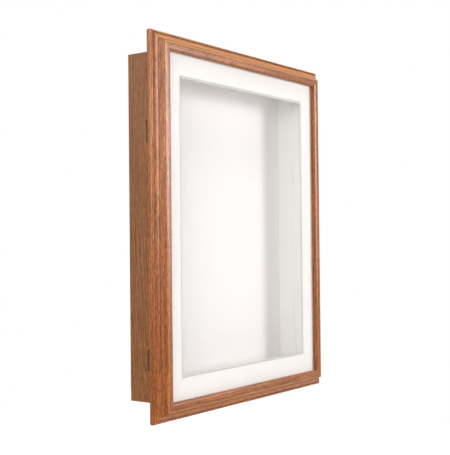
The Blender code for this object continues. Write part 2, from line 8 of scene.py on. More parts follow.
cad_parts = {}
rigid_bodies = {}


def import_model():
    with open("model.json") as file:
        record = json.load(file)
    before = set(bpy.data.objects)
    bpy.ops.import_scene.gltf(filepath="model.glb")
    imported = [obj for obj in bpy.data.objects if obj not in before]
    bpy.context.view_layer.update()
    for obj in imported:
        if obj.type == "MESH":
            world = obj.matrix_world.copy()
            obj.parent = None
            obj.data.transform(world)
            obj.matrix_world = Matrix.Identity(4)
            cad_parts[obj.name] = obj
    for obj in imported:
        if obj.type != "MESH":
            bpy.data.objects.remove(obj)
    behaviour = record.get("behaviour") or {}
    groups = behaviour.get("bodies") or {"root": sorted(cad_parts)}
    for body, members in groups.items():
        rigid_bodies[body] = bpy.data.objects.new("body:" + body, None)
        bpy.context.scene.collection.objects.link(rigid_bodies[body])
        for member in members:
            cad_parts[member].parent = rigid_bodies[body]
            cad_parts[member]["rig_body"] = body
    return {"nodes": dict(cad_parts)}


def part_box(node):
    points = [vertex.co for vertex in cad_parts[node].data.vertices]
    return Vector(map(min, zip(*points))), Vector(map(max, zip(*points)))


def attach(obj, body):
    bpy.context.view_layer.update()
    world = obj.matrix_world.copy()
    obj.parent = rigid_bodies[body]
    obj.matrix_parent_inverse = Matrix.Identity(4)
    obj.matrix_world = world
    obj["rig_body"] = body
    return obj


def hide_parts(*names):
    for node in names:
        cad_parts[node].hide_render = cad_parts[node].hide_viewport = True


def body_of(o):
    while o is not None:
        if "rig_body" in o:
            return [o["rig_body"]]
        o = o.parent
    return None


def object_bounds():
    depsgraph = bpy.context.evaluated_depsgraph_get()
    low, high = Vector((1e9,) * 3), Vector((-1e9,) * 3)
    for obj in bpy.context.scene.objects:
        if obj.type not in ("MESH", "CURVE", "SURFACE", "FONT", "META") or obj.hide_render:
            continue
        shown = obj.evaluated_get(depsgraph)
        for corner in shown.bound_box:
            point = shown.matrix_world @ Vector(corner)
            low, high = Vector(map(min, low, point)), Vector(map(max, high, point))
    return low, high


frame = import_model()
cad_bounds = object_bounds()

# The camera stands at the case's left front, a little below its middle. Its place is in metres, its
# turns are in degrees, and lens and sensor are in millimetres
CAMERA_PLACE = (-1.8368, -1.3714, -0.0325)
CAMERA_YAW = 54.041
CAMERA_PITCH = 0.837
CAMERA_ROLL = -0.577
LENS = 73.50
SENSOR = 36.0

# Studio lamps: azimuth and elevation in degrees as seen from AIM, distance and size in metres, and
# level. A low key from the right front lights the face and the white back, a weak cross light
# reaches the back's left edge, and a fill from the left lights the case's side. An overhead and a
# rear lamp keep the top and the back from going dark
AIM = Vector((0.0, -0.06, 0.0))
SOFTBOXES = {
    "key_softbox": (22.5, 8.0, 4.6, 1.55, 0.38),
    "cross_softbox": (48.0, 7.0, 3.5, 1.6, 0.09),
    "fill_softbox": (-67.0, 7.0, 3.0, 1.6, 0.60),
    "overhead_softbox": (0.0, 78.0, 2.2, 1.4, 0.45),
    "back_softbox": (180.0, 15.0, 3.0, 1.6, 0.45)}
# Lamps that only put a sheen on the lacquer: on the left stile, on the top rail's band and on the
# moulding's outer edge
SHEEN_BOXES = {
    "stile_sheen_softbox": (29.5, 11.0, 1.85, 0.78, 1.75),
    "band_sheen_softbox": (0.0, 19.0, 2.0, 0.8, 1.5),
    "side_sheen_softbox": (-98.0, 16.0, 1.9, 0.7, 1.2)}

# The room's own light, and the floor: how far below the case it lies, its size, and its glow near
# the case, where the shadow falls; past twice the shadow's reach it glows at 1 and is white
ROOM_LEVEL = 0.22
FLOOR_DROP = 0.95
FLOOR_SIZE = 9.0
FLOOR_SQUARES = 8
FLOOR_GLOW = 0.45
FLOOR_SHADOW_REACH = 1.6

# The moulding's section, from its outer edge inward and from the flange's face forward, with angles
# in degrees: 180 is outward and 90 forward. The lip reaches over the glazing, LIP_INSET in front of
# the flange's face, and the rabbet behind it stays SEAT clear of the door's box
FLANGE_THICKNESS = 0.016
LIP = 0.004
LIP_INSET = 0.007
SEAT = 0.0003
BACK_EASE = 0.0008
NOSE_MIDDLE = -0.0090
NOSE_RADIUS = 0.0160
NOSE_BACK_TURN = 22.0
NOSE_STEPS = 8
BEAD_MIDDLE = (0.0032, -0.0058)
BEAD_RADII = (0.0031, 0.0043)
BEAD_TURN = (174.0, 66.0)
BEAD_STEPS = 12
QUIRK = (0.0047, -0.0031)
BAND_START = (0.0051, -0.0026)
BAND_END = (0.0161, 0.0030)
BAND_STEPS = 12
RAMP_FOOT = (0.0163, 0.0024)
RAMP = ((0.0176, 0.0054), (0.0194, 0.0092))
SHOULDER_RADII = (0.0036, 0.0035)
SHOULDER_TURN = 168.0
SHOULDER_STEPS = 9
FACE_CREST = 0.0310
FACE_RADIUS = 0.0242
FACE_TURN = 15.6
FACE_STEPS = 6
SIGHT_RADII = (0.0075, 0.0045)
SIGHT_STEPS = 12
MITRE_GAP = 0.0001

# How the stain lies across the moulding, by the distance from its outer edge, with light and shade
# painted in: 1 where it was worn back on the crests and a painted highlight is added, -1 where it
# gathered in the hollows and painted shade is added, darkest at the quirk and the ramp's foot
WIPED_AND_PAINTED_LIGHT = ((0.0, 0.25), (0.0020, 0.25), (0.0040, -0.3), (0.0047, -1.0), (0.0060, -0.5),
         (0.0085, 0.1), (0.0115, 0.15), (0.0140, 0.3), (0.0161, 0.35), (0.0163, -1.0),
         (0.0176, -0.5), (0.0194, -0.1), (0.0220, 0.1), (0.0240, 0.4), (0.0262, 0.1),
         (0.0285, -0.3), (0.0315, -0.15), (0.0350, -0.15), (0.0380, -0.2), (0.0410, -0.5),
         (0.0420, -0.7))

# The rails, clockwise from the top: the way the grain runs, where the rail's middle lies from the
# tree's heart, and how strongly the pale crests are laid on at the rail's two ends, clockwise too.
# The pale crests are worn-back stain with a painted highlight. The top rail gets the most, painted
# light from above and its bounce; below 0 the crests are darkened with painted shade instead, and
# the left stile runs from painted shade at the bottom to a painted sheen at the top
RAILS = {"door_top_rail": ("X", (0.030, 0.055, 0.12), (4.5, 4.5)),
         "door_right_stile": ("Z", (0.050, -0.045, -0.25), (0.3, 0.3)),
         "door_bottom_rail": ("X", (-0.050, 0.040, -0.08), (1.0, 1.0)),
         "door_left_stile": ("Z", (0.040, 0.060, 0.18), (-1.0, 1.1))}

# The other oak boards and the way their grain runs, where the first board's middle lies from the
# tree's heart, and the step to the next. The steps across start again after three and four boards
BOARDS = {"cabinet_left_side": "Z", "cabinet_right_side": "Z", "cabinet_top": "X",
          "cabinet_bottom": "X", "door_box_left": "Z", "door_box_right": "Z",
          "door_box_top": "X", "door_box_bottom": "X"}
FIRST_BOARD = (0.045, 0.060, -0.2)
BOARD_STEP = (-0.012, 0.010, 0.07)
BOARD_REPEATS = (3, 4, len(BOARDS))

# The oak's stain, from its lightest ground to its darkest pores: the case took it a little browner
OAK_TONES = {"door": ("#B76F36", "#A96029", "#87471C", "#76401D", "#3A1E0C"),
             "case": ("#9D683A", "#915E31", "#7A4926", "#6A4022", "#3B2312")}
OAK_FLECKS = {"door": 0.48, "case": 0.30}
# The pale mix is worn-back stain with a painted highlight, and the dark mix is gathered stain with
# painted shade
OAK_RUBBED_AND_LIT = "#D8995C"
OAK_GATHERED_AND_SHADED = "#6E3C1B"

# Screws: the cross recess's reach and half width as shares of the head's radius, its floor as a
# share of its reach, its depth in the middle and how far the floor rises to its edge, how far the
# head falls to its rim and where the countersink starts, the point, and the shanks' radii
RECESS_ARM = 0.56
RECESS_HALF_WIDTH = 0.15
RECESS_FLOOR = 0.8
RECESS_DEPTH = 0.0010
RECESS_RISE = 0.0002
HEAD_FALL = 0.00005
HEAD_RIM = 0.00025
POINT = 0.003
SMALL_SHANK = 0.0013
BACK_SHANK = 0.0015
SCREW_SIDES = 24
ALONG_ARM = 0.01

# Hinge pins: the head's height, the shank as a share of the head's radius, how far the dome falls
# to its crown's edge and to the rim, and the crown and the foot's flat as shares of their radii
PIN_HEAD = 0.0010
PIN_SHARE = 0.61
PIN_EASE = 0.0001
PIN_ROUND = 0.0005
PIN_CROWN = 0.7
PIN_FOOT = 0.6
PIN_SIDES = 32

# Discs and plates: how far their edges are eased, and where an eased rim bends on its way
RIM_EASE = 0.0003
FELT_EASE = 0.0004
RIM_BEND = 0.3
DISC_SIDES = 48
PLATE_EASE = 0.00025
PLATE_SEGMENTS = 2
PLATE_EDGE = 40.0

# Edges sharper than these angles stay sharp; points nearer than SAME_PLACE are one
MOULDING_SHARP = 25.0
TURNED_SHARP = 30.0
SAME_PLACE = 0.000001

# Shader sockets that share a name are told apart by their number
COLOUR_A = 6
COLOUR_B = 7
MIXED_COLOUR = 2


def linear(code):
    """An sRGB hex colour as the linear colour that shaders work in."""
    shares = [int(code[place:place + 2], 16) / 255 for place in (1, 3, 5)]
    return tuple(share / 12.92 if share <= 0.04045 else ((share + 0.055) / 1.055) ** 2.4
                 for share in shares) + (1.0,)


def blank_material(name):
    """A material with an empty node tree."""
    material = bpy.data.materials.new(name)
    material.use_nodes = True
    material.node_tree.nodes.clear()
    return material, material.node_tree


def added(tree, kind, inputs, **settings):
    """Add one shader node: its settings by name, and each input as a value or an output to link."""
    made = tree.nodes.new("ShaderNode" + kind)
    for name, value in settings.items():
        setattr(made, name, value)
    for key, value in inputs.items():
        if isinstance(value, bpy.types.NodeSocket):
            tree.links.new(value, made.inputs[key])
        else:
            made.inputs[key].default_value = value
    return made


def per_metre(*sizes):
    """How many specks of a pattern fit a metre along each axis, from one speck's real sizes."""
    return tuple(1 / size for size in sizes)


def seen_directly(tree):
    """1 for rays from the camera, in a reflection or through a clear sheet, and 0 for the light."""
    rays = added(tree, "LightPath", {}).outputs
    seen = added(tree, "Math", {0: rays["Is Camera Ray"], 1: rays["Is Glossy Ray"]},
                 operation="MAXIMUM")
    clear = added(tree, "Math", {0: seen.outputs[0], 1: rays["Is Transmission Ray"]},
                  operation="MAXIMUM")
    return clear.outputs[0]


def board_place(tree, node, along, from_heart):
    """Where a point of this board lies from its tree's heart, with the grain along Z."""
    turn = Euler((0.0, math.pi / 2 if along == "X" else 0.0, 0.0))
    low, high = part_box(node)
    shift = Vector(from_heart) - turn.to_matrix() @ ((low + high) / 2)
    coordinates = added(tree, "TexCoord", {})
    place = added(tree, "Mapping", {"Vector": coordinates.outputs["Object"], "Rotation": turn,
                                    "Location": shift})
    return place.outputs[0]


def oak_figure(tree, wood):
    """The figure of flat-sawn oak as three shares: early wood, soft streaks and open pores."""
    # The growth rings lie 7 mm apart round the heart, at the scale that makes a wave one unit long,
    # and sway by up to 12 mm to either side over 300 mm
    swaying = added(tree, "Mapping", {"Vector": wood, "Scale": per_metre(0.030, 0.030, 0.30)})
    sway = added(tree, "TexNoise", {"Vector": swaying.outputs[0], "Scale": 1.0, "Detail": 3.0})
    swayed = added(tree, "VectorMath", {0: sway.outputs["Color"], 1: (0.5, 0.5, 0.5)},
                   operation="SUBTRACT")
    bent = added(tree, "VectorMath", {0: swayed.outputs[0], 1: (0.024, 0.024, 0.0), 2: wood},
                 operation="MULTIPLY_ADD").outputs[0]
    ringing = added(tree, "Mapping", {"Vector": bent, "Scale": per_metre(0.007, 0.007, 0.06)})
    rings = added(tree, "TexWave", {"Vector": ringing.outputs[0], "Scale": 0.314,
                                    "Distortion": 0.8, "Detail": 2.0, "Detail Scale": 1.4},
                  wave_type="RINGS", rings_direction="SPHERICAL", wave_profile="SAW")
    early = added(tree, "MapRange", {"Value": rings.outputs["Fac"], "From Min": 0.25,
                                     "From Max": 0.95})
    # Streaks 3 mm wide and 180 mm long that took more or less stain
    streaking = added(tree, "Mapping", {"Vector": wood, "Scale": per_metre(0.003, 0.003, 0.18)})
    streaks = added(tree, "TexNoise", {"Vector": streaking.outputs[0], "Scale": 1.0,
                                       "Detail": 4.0, "Roughness": 0.6})
    # Pores 0.2 mm wide are too fine to show, so they are drawn 0.9 mm wide and 20 mm long
    poring = added(tree, "Mapping", {"Vector": bent, "Scale": per_metre(0.0009, 0.0009, 0.020)})
    pores = added(tree, "TexNoise", {"Vector": poring.outputs[0], "Scale": 1.0, "Detail": 2.0,
                                     "Roughness": 0.7})
    open_pores = added(tree, "MapRange", {"Value": pores.outputs["Fac"], "From Min": 0.53,
                                          "From Max": 0.68})
    pored = added(tree, "Math", {0: open_pores.outputs[0], 1: early.outputs[0]},
                  operation="MULTIPLY")
    return early.outputs[0], streaks.outputs["Fac"], pored.outputs[0]


def oak_stain(tree, wood, figure, tone):
    """The stain's colour: darker in the streaks, the early wood and above all the pores."""
    early, streaks, pored = figure
    light, plain, streak, ring, pore = (linear(code) for code in OAK_TONES[tone])
    # The colour drifts over 50 mm across the board and 220 mm along it
    drifting = added(tree, "Mapping", {"Vector": wood, "Scale": per_metre(0.05, 0.05, 0.22)})
    drift = added(tree, "TexNoise", {"Vector": drifting.outputs[0], "Scale": 1.0, "Detail": 1.0})
    drifted = added(tree, "MapRange", {"Value": drift.outputs["Fac"], "From Min": 0.35,
                                       "From Max": 0.65})
    ground = added(tree, "Mix", {0: drifted.outputs[0], COLOUR_A: plain, COLOUR_B: light},
                   data_type="RGBA")
    streaked = added(tree, "MapRange", {"Value": streaks, "From Min": 0.40, "From Max": 0.66})
    second = added(tree, "Mix", {0: streaked.outputs[0], COLOUR_B: streak,
                                 COLOUR_A: ground.outputs[MIXED_COLOUR]}, data_type="RGBA")
    ringed = added(tree, "Math", {0: early, 1: 0.45}, operation="MULTIPLY")
    third = added(tree, "Mix", {0: ringed.outputs[0], COLOUR_B: ring,
                                COLOUR_A: second.outputs[MIXED_COLOUR]}, data_type="RGBA")
    dark = added(tree, "Math", {0: pored, 1: 0.95}, operation="MULTIPLY")
    stain = added(tree, "Mix", {0: dark.outputs[0], COLOUR_B: pore,
                                COLOUR_A: third.outputs[MIXED_COLOUR]}, data_type="RGBA")
    # Flecks 2.5 mm wide and 10 mm long where the grain stood up and took the stain unevenly
    flecking = added(tree, "Mapping", {"Vector": wood, "Scale": per_metre(0.0025, 0.0025, 0.010)})
    flecks = added(tree, "TexNoise", {"Vector": flecking.outputs[0], "Scale": 1.0,
                                      "Detail": 2.0, "Roughness": 0.6})
    uneven = added(tree, "MapRange", {"Value": flecks.outputs["Fac"], "From Min": 0.32,
                                      "From Max": 0.68, "To Min": 1 - OAK_FLECKS[tone],
                                      "To Max": 1 + OAK_FLECKS[tone]})
    flecked = added(tree, "VectorMath", {0: stain.outputs[MIXED_COLOUR],
                                         "Scale": uneven.outputs[0]}, operation="SCALE")
    return flecked.outputs[0]


def stained_oak(node, along, from_heart, tone):
    """Flat-sawn open-grained oak, rag-stained red-brown and sprayed with satin lacquer.

    The eye sees long streaks where the softer early wood took more stain, short dark pores
    drawn out along the grain, and a soft sheen that breaks up over them. On the moulding the
    stain is paler on the crests, where it was worn back and a painted highlight is added, and
    darker in the hollows, where it gathered and painted shade is added.
    """
    material, tree = blank_material(node + "_stained_oak")
    wood = board_place(tree, node, along, from_heart)
    early, streaks, pored = oak_figure(tree, wood)
    stain = oak_stain(tree, wood, (early, streaks, pored), tone)
    # Only the moulding carries this: its stain is paler on the crests, with a painted highlight,
    # and darker in the hollows, with painted shade
    wiped_and_painted_light = added(tree, "Attribute", {}, attribute_name="wiped_and_painted_light").outputs["Fac"]
    # Painted light: the pale mix is partly a highlight painted onto the crests
    thin_and_lit = added(tree, "MapRange", {"Value": wiped_and_painted_light, "To Max": 0.65})
    rubbed_and_lit = added(tree, "Mix", {0: thin_and_lit.outputs[0], COLOUR_A: stain,
                                 COLOUR_B: linear(OAK_RUBBED_AND_LIT)}, data_type="RGBA")
    # Painted shade: the dark mix is partly shade painted into the hollows
    thick = added(tree, "MapRange", {"Value": wiped_and_painted_light, "From Max": -1.0, "To Max": 0.55})
    coated_with_painted_light = added(tree, "Mix", {0: thick.outputs[0], COLOUR_A: rubbed_and_lit.outputs[MIXED_COLOUR],
                                 COLOUR_B: linear(OAK_GATHERED_AND_SHADED)}, data_type="RGBA")
    # The lacquer is satin, and duller where it sank into the pores
    rough = added(tree, "MapRange", {"Value": pored, "To Min": 0.40, "To Max": 0.56})
    sunk = added(tree, "Math", {0: streaks, 1: 0.4, 2: pored}, operation="MULTIPLY_ADD")
    relief = added(tree, "Bump", {"Height": sunk.outputs[0], "Strength": 0.22,
                                  "Distance": 0.0002}, invert=True)
    shader = added(tree, "BsdfPrincipled", {"Base Color": coated_with_painted_light.outputs[MIXED_COLOUR],
                                            "Roughness": rough.outputs[0],
                                            "Normal": relief.outputs[0],
                                            "Specular IOR Level": 0.22})
    added(tree, "OutputMaterial", {"Surface": shader.outputs[0]})
    return material


def mat_paper(name, face, speck):
    """Rag mat board: matt white paper with the faint tooth of pressed fibres."""
    material, tree = blank_material(name)
    place = added(tree, "TexCoord", {}).outputs["Object"]
    # The tooth is 0.5 mm across, and the tone clouds over 60 mm
    tooth = added(tree, "TexNoise", {"Vector": place, "Scale": 1 / 0.0005, "Detail": 3.0})
    cloud = added(tree, "TexNoise", {"Vector": place, "Scale": 1 / 0.06, "Detail": 2.0})
    toned = added(tree, "Math", {0: tooth.outputs["Fac"], 1: cloud.outputs["Fac"]},
                  operation="MULTIPLY")
    share = added(tree, "MapRange", {"Value": toned.outputs[0], "From Min": 0.15,
                                     "From Max": 0.45})
    colour = added(tree, "Mix", {0: share.outputs[0], COLOUR_A: linear(face),
                                 COLOUR_B: linear(speck)}, data_type="RGBA")
    relief = added(tree, "Bump", {"Height": tooth.outputs["Fac"], "Strength": 0.25,
                                  "Distance": 0.0001})
    rough = added(tree, "MapRange", {"Value": tooth.outputs["Fac"], "To Min": 0.82,
                                     "To Max": 0.95})
    shader = added(tree, "BsdfPrincipled", {"Base Color": colour.outputs[MIXED_COLOUR],
                                            "Roughness": rough.outputs[0],
                                            "Normal": relief.outputs[0],
                                            "Specular IOR Level": 0.3})
    added(tree, "OutputMaterial", {"Surface": shader.outputs[0]})
    return material


def clear_acrylic(name):
    """Cast acrylic sheet, clear and polished: only its faint reflection shows."""
    material, tree = blank_material(name)
    place = added(tree, "TexCoord", {}).outputs["Object"]
    # Wiping leaves a haze in patches about 90 mm across
    haze = added(tree, "TexNoise", {"Vector": place, "Scale": 1 / 0.09, "Detail": 3.0})
    rough = added(tree, "MapRange", {"Value": haze.outputs["Fac"], "To Min": 0.01,
                                     "To Max": 0.035})
    bounce = added(tree, "Fresnel", {"IOR": 1.49})
    side = added(tree, "NewGeometry", {})
    front = added(tree, "Math", {0: 1.0, 1: side.outputs["Backfacing"]}, operation="SUBTRACT")
    share = added(tree, "Math", {0: bounce.outputs[0], 1: front.outputs[0]}, operation="MULTIPLY")
    through = added(tree, "BsdfTransparent", {"Color": linear("#FEFEFE")})
    gloss = added(tree, "BsdfGlossy", {"Color": linear("#FFFFFF"), "Roughness": rough.outputs[0]})
    shader = added(tree, "MixShader", {0: share.outputs[0], 1: through.outputs[0],
                                       2: gloss.outputs[0]})
    added(tree, "OutputMaterial", {"Surface": shader.outputs[0]})
    return material


def bronzed_steel(name):
    """Steel plated and oiled to a dark bronze, with a faint mottle in its plating."""
    material, tree = blank_material(name)
    place = added(tree, "TexCoord", {}).outputs["Object"]
    # Plating mottle 4 mm across
    mottle = added(tree, "TexNoise", {"Vector": place, "Scale": 1 / 0.004, "Detail": 4.0})
    share = added(tree, "MapRange", {"Value": mottle.outputs["Fac"], "From Min": 0.35,
                                     "From Max": 0.70})
    colour = added(tree, "Mix", {0: share.outputs[0], COLOUR_A: linear("#5A3F2B"),
                                 COLOUR_B: linear("#6E5139")}, data_type="RGBA")
    rough = added(tree, "MapRange", {"Value": mottle.outputs["Fac"], "To Min": 0.60,
                                     "To Max": 0.74})
    shader = added(tree, "BsdfPrincipled", {"Base Color": colour.outputs[MIXED_COLOUR],
                                            "Metallic": 1.0, "Roughness": rough.outputs[0]})
    added(tree, "OutputMaterial", {"Surface": shader.outputs[0]})
    return material


def zinc_plate(name):
    """Bright zinc plating: a cool grey with faint drifting patches of straw and blue."""
    material, tree = blank_material(name)
    place = added(tree, "TexCoord", {}).outputs["Object"]
    # The passivation tint drifts over 5 mm
    tint = added(tree, "TexNoise", {"Vector": place, "Scale": 1 / 0.005, "Detail": 2.0})
    share = added(tree, "MapRange", {"Value": tint.outputs["Fac"], "From Min": 0.35,
                                     "From Max": 0.65})
    colour = added(tree, "Mix", {0: share.outputs[0], COLOUR_A: linear("#B9C0C8"),
                                 COLOUR_B: linear("#C9C3AE")}, data_type="RGBA")
    rough = added(tree, "MapRange", {"Value": tint.outputs["Fac"], "To Min": 0.24,
                                     "To Max": 0.40})
    shader = added(tree, "BsdfPrincipled", {"Base Color": colour.outputs[MIXED_COLOUR],
                                            "Metallic": 1.0, "Roughness": rough.outputs[0]})
    added(tree, "OutputMaterial", {"Surface": shader.outputs[0]})
    return material


def nickel_plate(name):
    """Nickel plating on a sintered magnet: bright, slightly warm, with a fine orange peel."""
    material, tree = blank_material(name)
    place = added(tree, "TexCoord", {}).outputs["Object"]
    # The peel is 0.4 mm across
    peel = added(tree, "TexNoise", {"Vector": place, "Scale": 1 / 0.0004, "Detail": 1.0})
    colour = added(tree, "Mix", {0: peel.outputs["Fac"], COLOUR_A: linear("#B8B2A6"),
                                 COLOUR_B: linear("#CFCAC0")}, data_type="RGBA")
    relief = added(tree, "Bump", {"Height": peel.outputs["Fac"], "Strength": 0.2,
                                  "Distance": 0.00005})
    shader = added(tree, "BsdfPrincipled", {"Base Color": colour.outputs[MIXED_COLOUR],
                                            "Metallic": 1.0, "Roughness": 0.22,
                                            "Normal": relief.outputs[0]})
    added(tree, "OutputMaterial", {"Surface": shader.outputs[0]})
    return material


def birch_plywood(name):
    """Rotary-cut birch plywood, sanded and left raw: pale, with a broad soft figure."""
    material, tree = blank_material(name)
    place = added(tree, "TexCoord", {}).outputs["Object"]
    # Figure 25 mm wide and 350 mm long, and fibre lines 1 mm wide and 30 mm long
    figuring = added(tree, "Mapping", {"Vector": place, "Scale": per_metre(0.025, 0.025, 0.35)})
    broad = added(tree, "TexNoise", {"Vector": figuring.outputs[0], "Scale": 1.0, "Detail": 3.0,
                                     "Distortion": 0.6})
    lining = added(tree, "Mapping", {"Vector": place, "Scale": per_metre(0.001, 0.001, 0.03)})
    fibre = added(tree, "TexNoise", {"Vector": lining.outputs[0], "Scale": 1.0, "Detail": 2.0})
    figure = added(tree, "MapRange", {"Value": broad.outputs["Fac"], "From Min": 0.35,
                                      "From Max": 0.65})
    first = added(tree, "Mix", {0: figure.outputs[0], COLOUR_A: linear("#E2C79C"),
                                COLOUR_B: linear("#D2B07F")}, data_type="RGBA")
    lines = added(tree, "MapRange", {"Value": fibre.outputs["Fac"], "From Min": 0.50,
                                     "From Max": 0.80, "To Max": 0.5})
    second = added(tree, "Mix", {0: lines.outputs[0], COLOUR_A: first.outputs[MIXED_COLOUR],
                                 COLOUR_B: linear("#B48E5E")}, data_type="RGBA")
    relief = added(tree, "Bump", {"Height": fibre.outputs["Fac"], "Strength": 0.3,
                                  "Distance": 0.0001})
    rough = added(tree, "MapRange", {"Value": fibre.outputs["Fac"], "To Min": 0.62,
                                     "To Max": 0.80})
    shader = added(tree, "BsdfPrincipled", {"Base Color": second.outputs[MIXED_COLOUR],
                                            "Roughness": rough.outputs[0],
                                            "Normal": relief.outputs[0]})
    added(tree, "OutputMaterial", {"Surface": shader.outputs[0]})
    return material


def pressed_felt(name):
    """Pressed wool felt: dark brown, matt and fuzzy."""
    material, tree = blank_material(name)
    place = added(tree, "TexCoord", {}).outputs["Object"]
    # Matted fibres 0.3 mm across
    fuzz = added(tree, "TexNoise", {"Vector": place, "Scale": 1 / 0.0003, "Detail": 4.0})
    colour = added(tree, "Mix", {0: fuzz.outputs["Fac"], COLOUR_A: linear("#2A1D15"),
                                 COLOUR_B: linear("#57412F")}, data_type="RGBA")
    relief = added(tree, "Bump", {"Height": fuzz.outputs["Fac"], "Strength": 0.7,
                                  "Distance": 0.0002})
    shader = added(tree, "BsdfPrincipled", {"Base Color": colour.outputs[MIXED_COLOUR],
                                            "Roughness": 0.95, "Normal": relief.outputs[0],
                                            "Sheen Weight": 0.4})
    added(tree, "OutputMaterial", {"Surface": shader.outputs[0]})
    return material


def pale_floor(name):
    """A white studio floor, burnt out to white away from the case, whose shadow it keeps."""
    material, tree = blank_material(name)
    place = added(tree, "TexCoord", {}).outputs["Object"]
    # The paint clouds over a third of a metre
    grain = added(tree, "TexNoise", {"Vector": place, "Scale": 3.0, "Detail": 2.0})
    colour = added(tree, "Mix", {0: grain.outputs["Fac"], COLOUR_A: linear("#F2F2F2"),
                                 COLOUR_B: linear("#F6F6F6")}, data_type="RGBA")
    reach = added(tree, "VectorMath", {0: place}, operation="LENGTH")
    burnt = added(tree, "MapRange", {"Value": reach.outputs["Value"],
                                     "From Min": FLOOR_SHADOW_REACH,
                                     "From Max": 2 * FLOOR_SHADOW_REACH, "To Min": FLOOR_GLOW})
    strength = added(tree, "Math", {0: seen_directly(tree), 1: burnt.outputs[0]},
                     operation="MULTIPLY")
    shader = added(tree, "BsdfPrincipled", {"Base Color": colour.outputs[MIXED_COLOUR],
                                            "Roughness": 0.9, "Specular IOR Level": 0.1,
                                            "Emission Color": linear("#FFFFFF"),
                                            "Emission Strength": strength.outputs[0]})
    added(tree, "OutputMaterial", {"Surface": shader.outputs[0]})
    return material


def finished(name, bm, material, body, replaced, sharp_angle):
    """Make a finished piece's object, its place in its mesh, riding on a body of the frame."""
    mesh = bpy.data.meshes.new(name)
    bm.to_mesh(mesh)
    bm.free()
    mesh.materials.append(material)
    mesh.shade_smooth()
    mesh.set_sharp_from_angle(angle=math.radians(sharp_angle))
    piece = bpy.data.objects.new(name, mesh)
    bpy.context.scene.collection.objects.link(piece)
    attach(piece, body)
    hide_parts(replaced)


def arc(centre, radii, first, last, steps):
    """Points on an ellipse from one angle to another, in degrees; 180 is outward and 90 forward."""
    points = []
    for step in range(steps + 1):
        angle = math.radians(first + (last - first) * step / steps)
        points.append((centre[0] + radii[0] * math.cos(angle),
                       centre[1] + radii[1] * math.sin(angle)))
    return points


def moulding_section(width, rise):
    """The moulding's section as (inward, forward) points.

    From outside in: a rounded nose with a small bead, a quirk, a broad band that levels out as it
    rises, a steep ramp, a rounded shoulder, the crowned face, a rounding down to the sight edge,
    and the rabbet behind.
    """
    nose = (NOSE_RADIUS, NOSE_MIDDLE)
    points = arc(nose, (NOSE_RADIUS, NOSE_RADIUS), 180 + NOSE_BACK_TURN, 180, NOSE_STEPS)
    points.insert(0, (points[0][0] + BACK_EASE, -FLANGE_THICKNESS))
    points += arc(BEAD_MIDDLE, BEAD_RADII, *BEAD_TURN, BEAD_STEPS)
    points.append(QUIRK)
    for step in range(BAND_STEPS + 1):
        share = step / BAND_STEPS
        points.append((BAND_START[0] + share * (BAND_END[0] - BAND_START[0]),
                       BAND_START[1] + (1 - (1 - share) ** 2) * (BAND_END[1] - BAND_START[1])))
    points += [RAMP_FOOT, *RAMP]
    face = arc((FACE_CREST, rise - FACE_RADIUS), (FACE_RADIUS, FACE_RADIUS),
               90 + FACE_TURN, 90, FACE_STEPS)
    lean = math.radians(FACE_TURN)
    shoulder = (face[0][0] + SHOULDER_RADII[0] * math.sin(lean),
                face[0][1] - SHOULDER_RADII[1] * math.cos(lean))
    points += arc(shoulder, SHOULDER_RADII, SHOULDER_TURN, 90 + FACE_TURN, SHOULDER_STEPS)
    points += face[1:]
    sight = (width - SIGHT_RADII[0], rise - SIGHT_RADII[1])
    points += arc(sight, SIGHT_RADII, 90, 0, SIGHT_STEPS)
    rabbet = width - LIP - SEAT
    points += [(width, LIP_INSET), (rabbet, LIP_INSET), (rabbet, -FLANGE_THICKNESS)]
    return points


def wiped_and_lit_share(inward, wiping_and_light):
    """How pale and how dark the stain lies at this distance from the moulding's outer edge, with
    the painted highlight and painted shade in it.
    """
    share = WIPED_AND_PAINTED_LIGHT[-1][1]
    for (start, low), (end, high) in zip(WIPED_AND_PAINTED_LIGHT, WIPED_AND_PAINTED_LIGHT[1:]):
        if inward <= end:
            share = low + (high - low) * (inward - start) / (end - start)
            break
    return wiping_and_light * share if share > 0 else share


